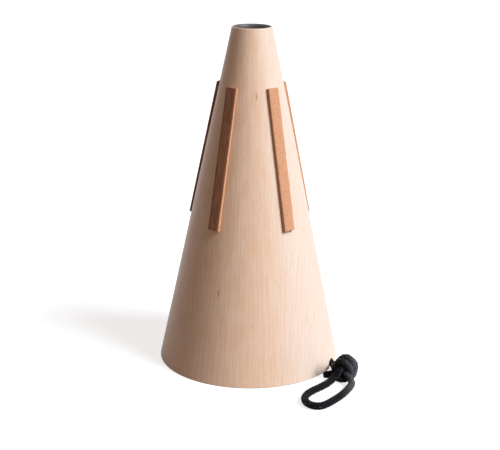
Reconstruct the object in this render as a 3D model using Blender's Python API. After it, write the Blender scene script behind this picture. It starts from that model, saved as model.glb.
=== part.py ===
"""A straight mute for the French horn.

A turned beech cone stands on its wide end. Five cork strips grip the horn's bell, a black tube lines
the throat, and a plywood plate closes the wide end. A soft black cord, knotted inside the plate,
leaves through a notch in the foot and ends in a knotted loop for the wrist.
Units are metres, +Z is up, and the origin is the centre of the foot. The front of the mute is -Y.
"""

import math

import bmesh
import bpy
from mathutils import Matrix, Vector

MM = 0.001

# Turned cone
BASE_DIAMETER = 127.0 * MM
TOP_DIAMETER = 27.5 * MM
MUTE_HEIGHT = 235.0 * MM
SHELL_WALL = 3.0 * MM
TOP_RIM_WIDTH = 1.5 * MM
TOP_RIM_ROUND = 0.6 * MM
FOOT_ROUND = 0.5 * MM
INNER_EDGE_ROUND = 0.3 * MM

# Tube that lines the throat
TUBE_SEAT_LENGTH = 14.0 * MM
TUBE_LENGTH = 90.0 * MM
TUBE_WALL = 1.0 * MM
TUBE_BELOW_RIM = 0.7 * MM
TUBE_EDGE_ROUND = 0.35 * MM

# Plate that closes the wide end
PLATE_RECESS = 10.0 * MM
PLATE_THICKNESS = 4.0 * MM
PLATE_LEDGE = 1.3 * MM
PLATE_EDGE_ROUND = 0.4 * MM

# Cork strips
STRIP_COUNT = 5
STRIP_LENGTH = 96.0 * MM
STRIP_WIDTH = 7.8 * MM
STRIP_THICKNESS = 3.0 * MM
STRIP_FROM_TOP = 39.4 * MM
STRIP_EDGE_ROUND = 0.25 * MM
FIRST_STRIP_TURN = math.radians(1.7)

# Cord, its knots and its way out
CORD_DIAMETER = 5.0 * MM
CORD_AZIMUTH = math.radians(-22.5)
CORD_HOLE_CLEARANCE = 1.0 * MM
NOTCH_SIDE_CLEARANCE = 0.8 * MM
NOTCH_TOP_CLEARANCE = 0.4 * MM
CORD_LIE = 0.1 * MM

# Glue line or running gap between any two pieces
JOINT_GAP = 0.3 * MM

# Facets of the round pieces
CONE_FACETS = 96
TUBE_FACETS = 64
HOLE_FACETS = 32
KNOT_FACETS = 32
CORD_FACETS = 12
CORD_BEVEL_RESOLUTION = CORD_FACETS // 4
ARC_STEPS = 3
BEVEL_STEPS = 2
ROUTE_STEPS = 16
SHARP_ANGLE = math.radians(35)

# Sizes that follow from those above
BASE_RADIUS = BASE_DIAMETER / 2
TOP_RADIUS = TOP_DIAMETER / 2
HALF_ANGLE = math.atan2(BASE_RADIUS - TOP_RADIUS, MUTE_HEIGHT)
LEVEL_WALL = SHELL_WALL / math.cos(HALF_ANGLE)
THROAT_RADIUS = TOP_RADIUS - TOP_RIM_WIDTH
TUBE_RADIUS = THROAT_RADIUS - JOINT_GAP
TUBE_TOP = MUTE_HEIGHT - TUBE_BELOW_RIM
LEDGE_HEIGHT = PLATE_RECESS + PLATE_THICKNESS
PLATE_TOP = LEDGE_HEIGHT - JOINT_GAP
CORD_RADIUS = CORD_DIAMETER / 2
CORD_REST_HEIGHT = CORD_RADIUS + CORD_LIE
NOTCH_WIDTH = CORD_DIAMETER + 2 * NOTCH_SIDE_CLEARANCE
NOTCH_HEIGHT = CORD_DIAMETER + CORD_LIE + NOTCH_TOP_CLEARANCE
CORD_HOLE_RADIUS = (CORD_DIAMETER + 2 * CORD_HOLE_CLEARANCE) / 2
# A tight overhand knot is four cords across when the cord is doubled, and under three when it isn't.
LOOP_KNOT_RADIUS = 4.0 * CORD_DIAMETER / 2
STOPPER_KNOT_RADIUS = 2.8 * CORD_DIAMETER / 2
CORD_GATE = Vector((BASE_RADIUS * math.cos(CORD_AZIMUTH), BASE_RADIUS * math.sin(CORD_AZIMUTH), 0.0))

# The cord's route, chosen by hand: millimetres across, millimetres to the front or back, and the lift of
# its centre above where it lies on the table. All are measured from the gate where it crosses the foot.
HOLE_TO_KNOT_ROUTE = (
    (-11.20, 25.68, 10.60),
    (-11.16, 25.58, 8.60),
    (-10.83, 24.82, 5.40),
    (-9.92, 22.74, 2.45),
    (-8.72, 20.00, 0.65),
    (-7.20, 16.50, 0.05),
    (-4.80, 11.00, 0.00),
    (-2.80, 6.42, 0.00),
    (-1.20, 2.75, 0.00),
    (0.00, 0.00, 0.00),
    (1.15, -3.00, 0.10),
    (1.50, -6.60, 0.60),
    (1.10, -10.60, 1.70),
    (0.60, -14.60, 3.00),
)
LOOP_ROUTE = (
    (-0.60, -28.80, 1.00),
    (-3.40, -32.80, 0.10),
    (-6.80, -37.10, 0.00),
    (-12.00, -43.00, 0.00),
    (-17.20, -48.80, 0.00),
    (-20.80, -55.60, 0.00),
    (-21.20, -62.80, 0.00),
    (-17.90, -68.90, 0.00),
    (-12.40, -70.60, 0.00),
    (-7.30, -67.20, 0.00),
    (-1.80, -60.50, 0.00),
    (4.30, -51.60, 0.00),
    (8.90, -42.20, 0.00),
    (11.60, -35.60, 0.20),
    (12.20, -32.40, 0.90),
)
CUT_END_ROUTE = (
    (-1.60, -20.30, 0.80),
    (-4.30, -20.60, 0.20),
    (-7.00, -20.90, 0.00),
)
LOOP_KNOT_PLACE = (7.33, -24.50)

# How the turns of each knot lean: their axis rises by this much for each unit along or across the cord
LOOP_TURN_RISE = 0.55
STOPPER_TURN_LEAN = 0.35


def clear_scene() -> None:
    """Removes every object that the file already holds."""
    for old in list(bpy.data.objects):
        bpy.data.objects.remove(old)


def linear(channel: float) -> float:
    """Turns one sRGB channel, 0 to 1, into linear light."""
    if channel <= 0.04045:
        return channel / 12.92
    return ((channel + 0.055) / 1.055) ** 2.4


def finish(name: str, hex_colour: str, roughness: float) -> bpy.types.Material:
    """Makes a plain material from an sRGB hex colour."""
    channels = [linear(int(hex_colour[i : i + 2], 16) / 255) for i in (0, 2, 4)]
    material = bpy.data.materials.new(name)
    material.use_nodes = True
    shader = material.node_tree.nodes["Principled BSDF"]
    shader.inputs["Base Color"].default_value = (*channels, 1.0)
    shader.inputs["Roughness"].default_value = roughness
    shader.inputs["Metallic"].default_value = 0.0
    return material


def add_object(name: str, bm: bmesh.types.BMesh, material: bpy.types.Material | None) -> bpy.types.Object:
    """Makes an object from a bmesh, shaded smooth apart from its sharp edges."""
    mesh = bpy.data.meshes.new(name)
    bm.to_mesh(mesh)
    bm.free()
    mesh.shade_smooth()
    mesh.set_sharp_from_angle(angle=SHARP_ANGLE)
    if material:
        mesh.materials.append(material)
    piece = bpy.data.objects.new(name, mesh)
    bpy.context.scene.collection.objects.link(piece)
    return piece


def add_guide(name: str, bm: bmesh.types.BMesh) -> bpy.types.Object:
    """Makes an object that only shapes others, by a cut or a join."""
    guide = add_object(name, bm, None)
    guide.hide_render = True
    guide.display_type = "WIRE"
    return guide


def combine(piece: bpy.types.Object, guide: bpy.types.Object, operation: str) -> None:
    """Cuts a guide from a piece, or joins it to the piece."""
    modifier = piece.modifiers.new(guide.name, "BOOLEAN")
    modifier.operation = operation
    modifier.solver = "EXACT"
    modifier.object = guide


def outer_radius(height: float) -> float:
    """The cone's outer radius at a height above the foot."""
    return BASE_RADIUS - height * math.tan(HALF_ANGLE)


def inner_radius(height: float) -> float:
    """The tapered bore's radius at a height above the foot."""
    return outer_radius(height) - LEVEL_WALL


def rounded(corners: list[tuple[float, float, float]]) -> list[Vector]:
    """Rounds the corners of a closed outline, each given as radius, height and the round it gets."""
    outline = []
    for i, (radius, height, fillet) in enumerate(corners):
        corner = Vector((radius, height))
        if not fillet:
            outline.append(corner)
            continue
        before = Vector(corners[i - 1][:2]) - corner
        after = Vector(corners[(i + 1) % len(corners)][:2]) - corner
        half = before.angle(after) / 2
        start = corner + before.normalized() * fillet / math.tan(half)
        end = corner + after.normalized() * fillet / math.tan(half)
        centre = corner + (before.normalized() + after.normalized()).normalized() * fillet / math.sin(half)
        for step in range(ARC_STEPS + 1):
            spoke = (start - centre).normalized().slerp((end - centre).normalized(), step / ARC_STEPS)
            outline.append(centre + spoke * fillet)
    return outline


def turned(corners: list[tuple[float, float, float]], facets: int) -> bmesh.types.BMesh:
    """Turns a closed outline about the Z axis into a ring."""
    bm = bmesh.new()
    verts = [bm.verts.new((point.x, 0.0, point.y)) for point in rounded(corners)]
    edges = [bm.edges.new((verts[i - 1], vert)) for i, vert in enumerate(verts)]
    bmesh.ops.spin(
        bm,
        geom=verts + edges,
        cent=(0.0, 0.0, 0.0),
        axis=(0.0, 0.0, 1.0),
        angle=math.tau,
        steps=facets,
        use_merge=True,
    )
    bmesh.ops.recalc_face_normals(bm, faces=bm.faces)
    return bm


def cone(radius_below: float, radius_above: float, low: float, high: float, facets: int) -> bmesh.types.BMesh:
    """A solid cone or cylinder about the Z axis between two heights."""
    bm = bmesh.new()
    bmesh.ops.create_cone(
        bm,
        cap_ends=True,
        segments=facets,
        radius1=radius_below,
        radius2=radius_above,
        depth=high - low,
        matrix=Matrix.Translation((0.0, 0.0, (high + low) / 2)),
    )
    return bm


def smooth_route(points: list[Vector], spacing: float) -> list[Vector]:
    """Reads evenly spaced points from a Catmull-Rom curve through the given ones."""
    ends = [2 * points[0] - points[1], *points, 2 * points[-1] - points[-2]]
    fine = []
    for p0, p1, p2, p3 in zip(ends, ends[1:], ends[2:], ends[3:]):
        for step in range(ROUTE_STEPS):
            t = step / ROUTE_STEPS
            bend = (2 * p0 - 5 * p1 + 4 * p2 - p3) * t**2 + (3 * p1 - 3 * p2 + p3 - p0) * t**3
            fine.append(p1 + ((p2 - p0) * t + bend) / 2)
    fine.append(points[-1])
    lengths = [0.0]
    for a, b in zip(fine, fine[1:]):
        lengths.append(lengths[-1] + (b - a).length)
    count = max(2, round(lengths[-1] / spacing))
    route = []
    for i in range(count + 1):
        target = lengths[-1] * i / count
        k = max(j for j in range(len(fine) - 1) if lengths[j] <= target)
        share = (target - lengths[k]) / (lengths[k + 1] - lengths[k])
        route.append(fine[k].lerp(fine[k + 1], share))
    return route


def placed(route: tuple[tuple[float, float, float], ...]) -> list[Vector]:
    """Puts a hand-chosen route in the mute's frame, lying on the table beside the gate."""
    at_rest = CORD_GATE + Vector((0.0, 0.0, CORD_REST_HEIGHT))
    return [at_rest + Vector(point) * MM for point in route]


def add_cord(name: str, route: list[Vector], material: bpy.types.Material) -> bpy.types.Object:
    """A round cord along a route, closed at both ends."""
    curve = bpy.data.curves.new(name, "CURVE")
    curve.dimensions = "3D"
    curve.bevel_depth = CORD_RADIUS
    curve.bevel_resolution = CORD_BEVEL_RESOLUTION
    curve.use_fill_caps = True
    curve.materials.append(material)
    spline = curve.splines.new("POLY")
    spline.points.add(len(route) - 1)
    for point, place in zip(spline.points, route):
        point.co = (*place, 1.0)
    piece = bpy.data.objects.new(name, curve)
    bpy.context.scene.collection.objects.link(piece)
    return piece


def strand_stub(name: str, end: Vector, direction: Vector, length: float) -> bpy.types.Object:
    """A short length of cord inside a knot, whose face looks along a direction at the next stretch."""
    stub = add_guide(name, cone(CORD_RADIUS, CORD_RADIUS, -length, -JOINT_GAP, CORD_FACETS))
    stub.location = end
    stub.rotation_mode = "QUATERNION"
    stub.rotation_quaternion = direction.to_track_quat("Z", "Y")
    return stub


def wrap_ring(name: str, centre: Vector, axis: Vector, radius: float, offset: float) -> bpy.types.Object:
    """One turn of cord round a knot, as a ring about an axis and set off along it."""
    bm = bmesh.new()
    bmesh.ops.create_circle(
        bm,
        segments=CORD_FACETS,
        radius=CORD_RADIUS,
        matrix=Matrix.Translation((radius, 0.0, 0.0)) @ Matrix.Rotation(math.radians(90), 4, "X"),
    )
    bmesh.ops.spin(
        bm,
        geom=bm.verts[:] + bm.edges[:],
        cent=(0.0, 0.0, 0.0),
        axis=(0.0, 0.0, 1.0),
        angle=math.tau,
        steps=KNOT_FACETS,
        use_merge=True,
    )
    bmesh.ops.recalc_face_normals(bm, faces=bm.faces)
    ring = add_guide(name, bm)
    ring.location = centre + axis * offset
    ring.rotation_mode = "QUATERNION"
    ring.rotation_quaternion = axis.to_track_quat("Z", "Y")
    return ring


def knot_core(name: str, centre: Vector, radius: float, material: bpy.types.Material) -> bpy.types.Object:
    """The packed middle of a knot, to which its turns are joined."""
    bm = bmesh.new()
    bmesh.ops.create_icosphere(bm, subdivisions=3, radius=radius)
    core = add_object(name, bm, material)
    core.location = centre
    return core


def build_cone_shell(beech: bpy.types.Material) -> bpy.types.Object:
    """The turned cone: a seat for the tube above, a ledge for the plate below, a notch for the cord."""
    seat_end = MUTE_HEIGHT - TUBE_SEAT_LENGTH
    rebate_radius = inner_radius(LEDGE_HEIGHT) + PLATE_LEDGE
    corners = [
        (TOP_RADIUS, MUTE_HEIGHT, TOP_RIM_ROUND),
        (BASE_RADIUS, 0.0, FOOT_ROUND),
        (rebate_radius, 0.0, INNER_EDGE_ROUND),
        (rebate_radius, LEDGE_HEIGHT, 0.0),
        (inner_radius(LEDGE_HEIGHT), LEDGE_HEIGHT, 0.0),
        (inner_radius(seat_end), seat_end, 0.0),
        (THROAT_RADIUS, seat_end, 0.0),
        (THROAT_RADIUS, MUTE_HEIGHT, TOP_RIM_ROUND),
    ]
    shell = add_object("cone_shell", turned(corners, CONE_FACETS), beech)
    combine(shell, build_notch_cutter(), "DIFFERENCE")
    return shell


def build_notch_cutter() -> bpy.types.Object:
    """An arch on straight legs, drawn along the cord's way across the foot."""
    bm = bmesh.new()
    arch_radius = NOTCH_WIDTH / 2
    spring_line = NOTCH_HEIGHT - arch_radius
    outline = [bm.verts.new((0.0, side * arch_radius, -NOTCH_HEIGHT)) for side in (1, -1)]
    for step in range(CORD_FACETS + 1):
        turn = math.pi * step / CORD_FACETS
        place = (0.0, -arch_radius * math.cos(turn), spring_line + arch_radius * math.sin(turn))
        outline.append(bm.verts.new(place))
    face = bm.faces.new(outline)
    reach = 3 * NOTCH_WIDTH
    swept = bmesh.ops.extrude_face_region(bm, geom=[face])["geom"]
    moved = [part for part in swept if isinstance(part, bmesh.types.BMVert)]
    bmesh.ops.translate(bm, verts=moved, vec=(reach, 0.0, 0.0))
    bmesh.ops.translate(bm, verts=bm.verts, vec=(-reach / 2, 0.0, 0.0))
    bmesh.ops.recalc_face_normals(bm, faces=bm.faces)
    cutter = add_guide("notch_cutter", bm)
    crossing = placed(HOLE_TO_KNOT_ROUTE)
    gate = HOLE_TO_KNOT_ROUTE.index((0.0, 0.0, 0.0))
    heading = crossing[gate + 1] - crossing[gate - 1]
    cutter.location = CORD_GATE
    cutter.rotation_euler = (0.0, 0.0, math.atan2(heading.y, heading.x))
    return cutter


def build_base_plate(plywood: bpy.types.Material) -> bpy.types.Object:
    """The disc glued under the ledge, drilled where the cord passes."""
    radius = inner_radius(LEDGE_HEIGHT) + PLATE_LEDGE - JOINT_GAP
    bm = cone(radius, radius, PLATE_TOP - PLATE_THICKNESS, PLATE_TOP, CONE_FACETS)
    rims = [edge for edge in bm.edges if any(len(face.verts) > 4 for face in edge.link_faces)]
    bmesh.ops.bevel(
        bm,
        geom=rims,
        offset=PLATE_EDGE_ROUND,
        segments=BEVEL_STEPS,
        profile=0.5,
        affect="EDGES",
    )
    plate = add_object("base_plate", bm, plywood)
    hole_place = placed(HOLE_TO_KNOT_ROUTE)[0]
    drilled = cone(CORD_HOLE_RADIUS, CORD_HOLE_RADIUS, 0.0, 2 * LEDGE_HEIGHT, HOLE_FACETS)
    drill = add_guide("cord_drill", drilled)
    drill.location = (hole_place.x, hole_place.y, 0.0)
    combine(plate, drill, "DIFFERENCE")
    return plate


def build_throat_tube(black: bpy.types.Material) -> bpy.types.Object:
    """The thin tube glued in the throat, which hangs on down inside the cone."""
    inside = TUBE_RADIUS - TUBE_WALL
    corners = [
        (TUBE_RADIUS, TUBE_TOP, TUBE_EDGE_ROUND),
        (TUBE_RADIUS, TUBE_TOP - TUBE_LENGTH, TUBE_EDGE_ROUND),
        (inside, TUBE_TOP - TUBE_LENGTH, TUBE_EDGE_ROUND),
        (inside, TUBE_TOP, TUBE_EDGE_ROUND),
    ]
    return add_object("throat_tube", turned(corners, TUBE_FACETS), black)


def build_cork_strips(cork: bpy.types.Material) -> list[bpy.types.Object]:
    """Strips of sheet cork, hollowed underneath to the cone that they are glued to."""
    glue_line = JOINT_GAP / math.cos(HALF_ANGLE)
    margin = TOP_DIAMETER / 2
    radius_below = outer_radius(-margin) + glue_line
    radius_above = outer_radius(MUTE_HEIGHT + margin) + glue_line
    under_strips = cone(radius_below, radius_above, -margin, MUTE_HEIGHT + margin, CONE_FACETS)
    hollow = add_guide("cone_cutter", under_strips)
    middle = STRIP_FROM_TOP + STRIP_LENGTH / 2
    radius = TOP_RADIUS + middle * math.sin(HALF_ANGLE)
    height = MUTE_HEIGHT - middle * math.cos(HALF_ANGLE)
    outer_face = JOINT_GAP + STRIP_THICKNESS
    inner_face = -STRIP_THICKNESS
    strips = []
    for i in range(STRIP_COUNT):
        azimuth = math.radians(-90) + FIRST_STRIP_TURN + (i - 0.5) * math.tau / STRIP_COUNT
        bm = bmesh.new()
        bmesh.ops.create_cube(bm, size=1.0)
        bmesh.ops.scale(bm, verts=bm.verts, vec=(outer_face - inner_face, STRIP_WIDTH, STRIP_LENGTH))
        bmesh.ops.translate(bm, verts=bm.verts, vec=((outer_face + inner_face) / 2, 0.0, 0.0))
        bmesh.ops.bevel(
            bm,
            geom=bm.edges[:],
            offset=STRIP_EDGE_ROUND,
            segments=BEVEL_STEPS,
            profile=0.5,
            affect="EDGES",
        )
        strip = add_object(f"cork_strip_{i + 1}", bm, cork)
        strip.location = (radius * math.cos(azimuth), radius * math.sin(azimuth), height)
        strip.rotation_euler = (0.0, -HALF_ANGLE, azimuth)
        combine(strip, hollow, "DIFFERENCE")
        strips.append(strip)
    return strips


def build_cord(braid: bpy.types.Material) -> None:
    """The cord in its stretches: from inside the plate to the loop knot, round the loop, and its cut end."""
    lead = smooth_route(placed(HOLE_TO_KNOT_ROUTE), CORD_DIAMETER)
    loop = smooth_route(placed(LOOP_ROUTE), CORD_DIAMETER)
    cut_end = smooth_route(placed(CUT_END_ROUTE), CORD_DIAMETER)
    add_cord("cord_lead", lead, braid)
    add_cord("cord_loop", loop, braid)
    add_cord("cord_cut_end", cut_end, braid)
    build_loop_knot(lead, loop, cut_end, braid)
    build_stopper_knot(lead, braid)


def build_loop_knot(
    lead: list[Vector], loop: list[Vector], cut_end: list[Vector], braid: bpy.types.Material
) -> None:
    """The doubled overhand knot: two turns round a packed core, where four strands go in."""
    centre = CORD_GATE + Vector(LOOP_KNOT_PLACE).to_3d() * MM
    centre.z = LOOP_KNOT_RADIUS + CORD_LIE
    core_radius = LOOP_KNOT_RADIUS - CORD_RADIUS / 2
    knot = knot_core("loop_knot", centre, core_radius, braid)
    through = (loop[-1] + loop[0] - 2 * centre).normalized()
    axis = (through + Vector((0.0, 0.0, LOOP_TURN_RISE))).normalized()
    turn_radius = math.sqrt((LOOP_KNOT_RADIUS - CORD_RADIUS) ** 2 - CORD_RADIUS**2)
    for side in (-1, 1):
        turn = wrap_ring(f"loop_knot_turn_{side}", centre, axis, turn_radius, side * CORD_RADIUS)
        combine(knot, turn, "UNION")
    for name, end, beyond in (
        ("lead_stub", lead[-1], lead[-2]),
        ("loop_start_stub", loop[0], loop[1]),
        ("loop_finish_stub", loop[-1], loop[-2]),
        ("cut_end_stub", cut_end[0], cut_end[1]),
    ):
        stub = strand_stub(name, end, (beyond - end).normalized(), core_radius)
        combine(knot, stub, "UNION")


def build_stopper_knot(lead: list[Vector], braid: bpy.types.Material) -> None:
    """The single overhand knot that sits on the plate over the cord's hole, with its short tail upwards."""
    centre = Vector((lead[0].x, lead[0].y, PLATE_TOP + JOINT_GAP + STOPPER_KNOT_RADIUS))
    stopper = knot_core("stopper_knot", centre, STOPPER_KNOT_RADIUS - CORD_RADIUS / 2, braid)
    axis = Vector((STOPPER_TURN_LEAN, 0.0, 1.0)).normalized()
    turn = wrap_ring("stopper_turn", centre, axis, STOPPER_KNOT_RADIUS - CORD_RADIUS, 0.0)
    combine(stopper, turn, "UNION")
    down = (lead[1] - lead[0]).normalized()
    combine(stopper, strand_stub("stopper_stub", lead[0], down, STOPPER_KNOT_RADIUS), "UNION")
    tail_end = centre + Vector((0.0, 0.0, STOPPER_KNOT_RADIUS + CORD_RADIUS))
    tail = strand_stub("stopper_tail", tail_end, Vector((0.0, 0.0, 1.0)), STOPPER_KNOT_RADIUS)
    combine(stopper, tail, "UNION")


def main() -> None:
    """Builds every piece of the mute."""
    clear_scene()
    beech = finish("turned_beech", "D6B494", 0.5)
    plywood = finish("birch_plywood", "CDAE82", 0.6)
    cork = finish("sheet_cork", "BD8157", 0.85)
    black = finish("black_phenolic_tube", "1F1E20", 0.45)
    braid = finish("black_braided_cord", "17161A", 0.8)
    build_cone_shell(beech)
    build_base_plate(plywood)
    build_throat_tube(black)
    build_cork_strips(cork)
    build_cord(braid)


main()
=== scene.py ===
"""Looks of a straight mute for the French horn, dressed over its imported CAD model.

A turned beech cone carries five strips of sheet cork and a black tube in its throat. A plywood plate
closes its foot, and a soft black braided cord comes out under it and ends in a knotted loop.
Units are metres, +Z is up, the origin is the centre of the foot and the front is -Y.
"""

from __future__ import annotations

import logging
import math
from collections.abc import Mapping
from dataclasses import dataclass, field
from enum import Enum

import bmesh
import bpy
import numpy as np
from bpy.types import Material, Node, NodeSocket, NodeTree, Object
from mathutils import Matrix, Vector, noise


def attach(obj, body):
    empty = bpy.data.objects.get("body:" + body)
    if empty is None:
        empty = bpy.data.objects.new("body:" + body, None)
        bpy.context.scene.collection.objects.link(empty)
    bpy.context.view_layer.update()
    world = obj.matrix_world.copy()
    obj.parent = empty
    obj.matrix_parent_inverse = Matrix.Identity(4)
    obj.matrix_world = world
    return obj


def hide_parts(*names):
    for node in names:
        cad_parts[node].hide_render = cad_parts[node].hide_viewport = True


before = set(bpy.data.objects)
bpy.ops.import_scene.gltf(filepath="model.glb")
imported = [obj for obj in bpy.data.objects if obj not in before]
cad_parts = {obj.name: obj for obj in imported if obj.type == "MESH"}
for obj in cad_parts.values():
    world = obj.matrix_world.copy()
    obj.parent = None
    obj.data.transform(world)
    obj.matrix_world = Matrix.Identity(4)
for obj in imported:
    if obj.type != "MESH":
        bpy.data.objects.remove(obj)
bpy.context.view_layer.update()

LOG = logging.getLogger("horn_mute")
MM = 0.001
SHARP_ANGLE = math.radians(35)
# A length in millimetres that stands in for zero where something is divided by it.
TINY = 1e-9

Triple = tuple[float, float, float]
Route = tuple[Triple, ...]
# The end of a strand: its point, and the way that it runs out of the knot.
RunOut = tuple[np.ndarray, np.ndarray]


def linear(hex_colour: str) -> tuple[float, float, float, float]:
    """Turns a colour of six sRGB hex digits into linear light, with a full alpha."""
    channels = [int(hex_colour[i : i + 2], 16) / 255 for i in (0, 2, 4)]
    red, green, blue = (c / 12.92 if c <= 0.04045 else ((c + 0.055) / 1.055) ** 2.4 for c in channels)
    return red, green, blue, 1.0


def feed(tree: NodeTree, node: Node, inputs: Mapping[int | str, object]) -> None:
    """Links or sets a node's inputs.

    Args:
        tree: Node tree of the material or world.
        node: The node.
        inputs: For each input, a socket to link from, or a hex colour or another value to keep.
    """
    for key, value in inputs.items():
        if isinstance(value, NodeSocket):
            tree.links.new(value, node.inputs[key])
        else:
            node.inputs[key].default_value = linear(value) if isinstance(value, str) else value


def shade(
    tree: NodeTree,
    kind: str,
    inputs: Mapping[int | str, object],
    output: int | str = 0,
    stops: tuple[tuple[float, str], ...] = (),
    **settings: object,
) -> NodeSocket:
    """Adds a shader node with its settings and links.

    Args:
        tree: Node tree of the material or world.
        kind: Blender's name for the node, without its ShaderNode prefix.
        inputs: What its inputs get, as for feed.
        output: The output to hand back.
        stops: Places and hex colours of a colour ramp, its two ends first.
        **settings: The node's own properties.

    Returns:
        The node's chosen output.
    """
    node = tree.nodes.new(f"ShaderNode{kind}")
    for name, value in settings.items():
        setattr(node, name, value)
    feed(tree, node, inputs)
    for i, (place, colour) in enumerate(stops):
        stop = node.color_ramp.elements[i] if i < 2 else node.color_ramp.elements.new(place)
        stop.position = place
        stop.color = linear(colour)
    return node.outputs[output]


# Socket numbers of a Mix node that is set to colours.
FACTOR, FIRST, SECOND, MIXED = 0, 6, 7, 2


def per_mm(*sizes: float) -> tuple[float, ...]:
    """Scales that make sizes in millimetres one unit long."""
    return tuple(1 / (size * MM) for size in sizes)


def start_material(name: str) -> tuple[Material, NodeTree, Node]:
    """Starts a material, named for what it is made of, with its node tree and Principled shader."""
    material = bpy.data.materials.new(name)
    material.use_nodes = True
    tree = material.node_tree
    return material, tree, tree.nodes["Principled BSDF"]


@dataclass(frozen=True)
class TurnedBeech:
    """Beech turned between centres, sanded fine and oiled thinly, with its grain straight up the block.

    The eye gets fine upright streaks front and back, long arches on the flat-sawn sides, short dark ray
    flecks, a few mineral specks and a low satin sheen. Sizes are in millimetres: a streak or a patch has
    a width, a depth into the wood and a length, and a speck has a place, a width and a length. The tones
    are those at which the pale, the middle and the dark colour lie.
    """

    heart: tuple[str, str, str] = ("ECCDB2", "DFBDA1", "C79C7C")
    # Painted highlight: paler, cooler tones for the +X side, which faces the key light.
    painted_highlight: tuple[str, str, str] = ("E3D0C0", "D7C1AF", "C1A189")
    tones: Triple = (0.26, 0.48, 0.76)
    warm: str = "DAB18E"
    fleck: str = "AF8260"
    speck: str = "96664A"
    fibre: Triple = (0.8, 14.0, 44.0)
    fibre_share: float = 0.52
    pore: Triple = (0.6, 5.0, 12.0)
    pore_share: float = 0.30
    mottle: Triple = (4.5, 4.5, 22.0)
    ray: Triple = (1.5, 1.5, 8.0)
    ray_patch: Triple = (12.0, 12.0, 40.0)
    pith: Triple = (-620.0, 50.0, 0.0)
    ring_spacing: float = 2.4
    ring_share: float = 0.12
    ring_wave: Triple = (30.0, 60.0, 200.0)
    ring_wave_depth: float = 6.0
    ring_lean: float = 0.012
    specks: tuple[tuple[Triple, tuple[float, float]], ...] = (
        ((3.3, -22.7, 191.6), (0.8, 4.2)),
        ((-20.8, -45.9, 61.8), (1.0, 3.6)),
        ((31.5, 22.0, 118.0), (0.9, 3.0)),
    )
    roughness: float = 0.40

    def make(self) -> Material:
        """Makes the material."""
        material, tree, shader = start_material("turned_oiled_beech")
        place = shade(tree, "TexCoord", {}, "Object")
        fibres = self.grain(tree, place, self.fibre)
        pores = self.grain(tree, place, self.pore)
        tone = shade(tree, "Math", {0: self.rings(tree, place), 1: self.ring_share}, operation="MULTIPLY")
        for streaks, share in ((fibres, self.fibre_share), (pores, self.pore_share)):
            tone = shade(tree, "Math", {0: streaks, 1: share, 2: tone}, operation="MULTIPLY_ADD")
        start, middle, end = self.tones
        heart, painted_highlight = (
            shade(tree, "ValToRGB", {"Fac": tone}, stops=((start, pale), (end, dark), (middle, body)))
            for pale, body, dark in (self.heart, self.painted_highlight)
        )
        # Painted highlight: the +X side, away from the pith and towards the key light, is paler and cooler
        # than the heart.
        turned = {"Value": self.sideways(tree, place), "From Min": 0.05, "From Max": 0.75}
        painted_highlight_share = shade(tree, "MapRange", turned, interpolation_type="SMOOTHSTEP")
        mottle = shade(tree, "Mapping", {"Vector": place, "Scale": per_mm(*self.mottle)})
        mottle = shade(tree, "TexNoise", {"Vector": mottle, "Scale": 1.0, "Detail": 3.0})
        warmth = shade(tree, "MapRange", {"Value": mottle, "From Min": 0.42, "From Max": 0.66, "To Max": 0.5})
        ray = self.rays(tree, place)
        mineral = self.mineral(tree, place)
        wood = heart
        for share, colour in ((warmth, self.warm), (painted_highlight_share, painted_highlight), (ray, self.fleck), (mineral, self.speck)):
            wood = shade(tree, "Mix", {FACTOR: share, FIRST: wood, SECOND: colour}, MIXED, data_type="RGBA")
        relief = shade(tree, "Math", {0: ray, 1: -0.5, 2: pores}, operation="MULTIPLY_ADD")
        bump = shade(tree, "Bump", {"Strength": 0.10, "Distance": 0.12 * MM, "Height": relief})
        satin = {"Value": fibres, "To Min": self.roughness - 0.05, "To Max": self.roughness + 0.08}
        gloss = shade(tree, "MapRange", satin)
        oiled = {"Roughness": gloss, "Specular IOR Level": 0.3}
        feed(tree, shader, {"Base Color": wood, "Normal": bump, **oiled})
        return material

    def sideways(self, tree: NodeTree, place: NodeSocket) -> NodeSocket:
        """How far a spot is turned to the side: 1 at +X, 0 in front and behind, -1 at -X."""
        flat = shade(tree, "VectorMath", {0: place, 1: (1.0, 1.0, 0.0)}, operation="MULTIPLY")
        way = shade(tree, "VectorMath", {0: flat}, "Vector", operation="NORMALIZE")
        return shade(tree, "SeparateXYZ", {"Vector": way}, "X")

    def grain(self, tree: NodeTree, place: NodeSocket, size: Triple) -> NodeSocket:
        """Draws upright streaks, thin across the rings in front and behind and along them on the sides.

        Args:
            tree: The material's node tree.
            place: Object coordinates.
            size: A streak's size.

        Returns:
            The streaks' tone.
        """
        width, depth, length = size
        streaks = []
        for laid in ((width, depth, length), (depth, width, length)):
            lay = shade(tree, "Mapping", {"Vector": place, "Scale": per_mm(*laid)})
            fine = {"Vector": lay, "Scale": 1.0, "Detail": 4.0, "Roughness": 0.62}
            streaks.append(shade(tree, "TexNoise", fine))
        front, side = streaks
        sideways = shade(tree, "Math", {0: self.sideways(tree, place)}, operation="ABSOLUTE")
        turned = {"Value": sideways, "From Min": 0.80, "From Max": 0.95}
        on_side = shade(tree, "MapRange", turned, interpolation_type="SMOOTHSTEP")
        return shade(tree, "Mix", {FACTOR: on_side, 2: front, 3: side}, data_type="FLOAT")

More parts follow.
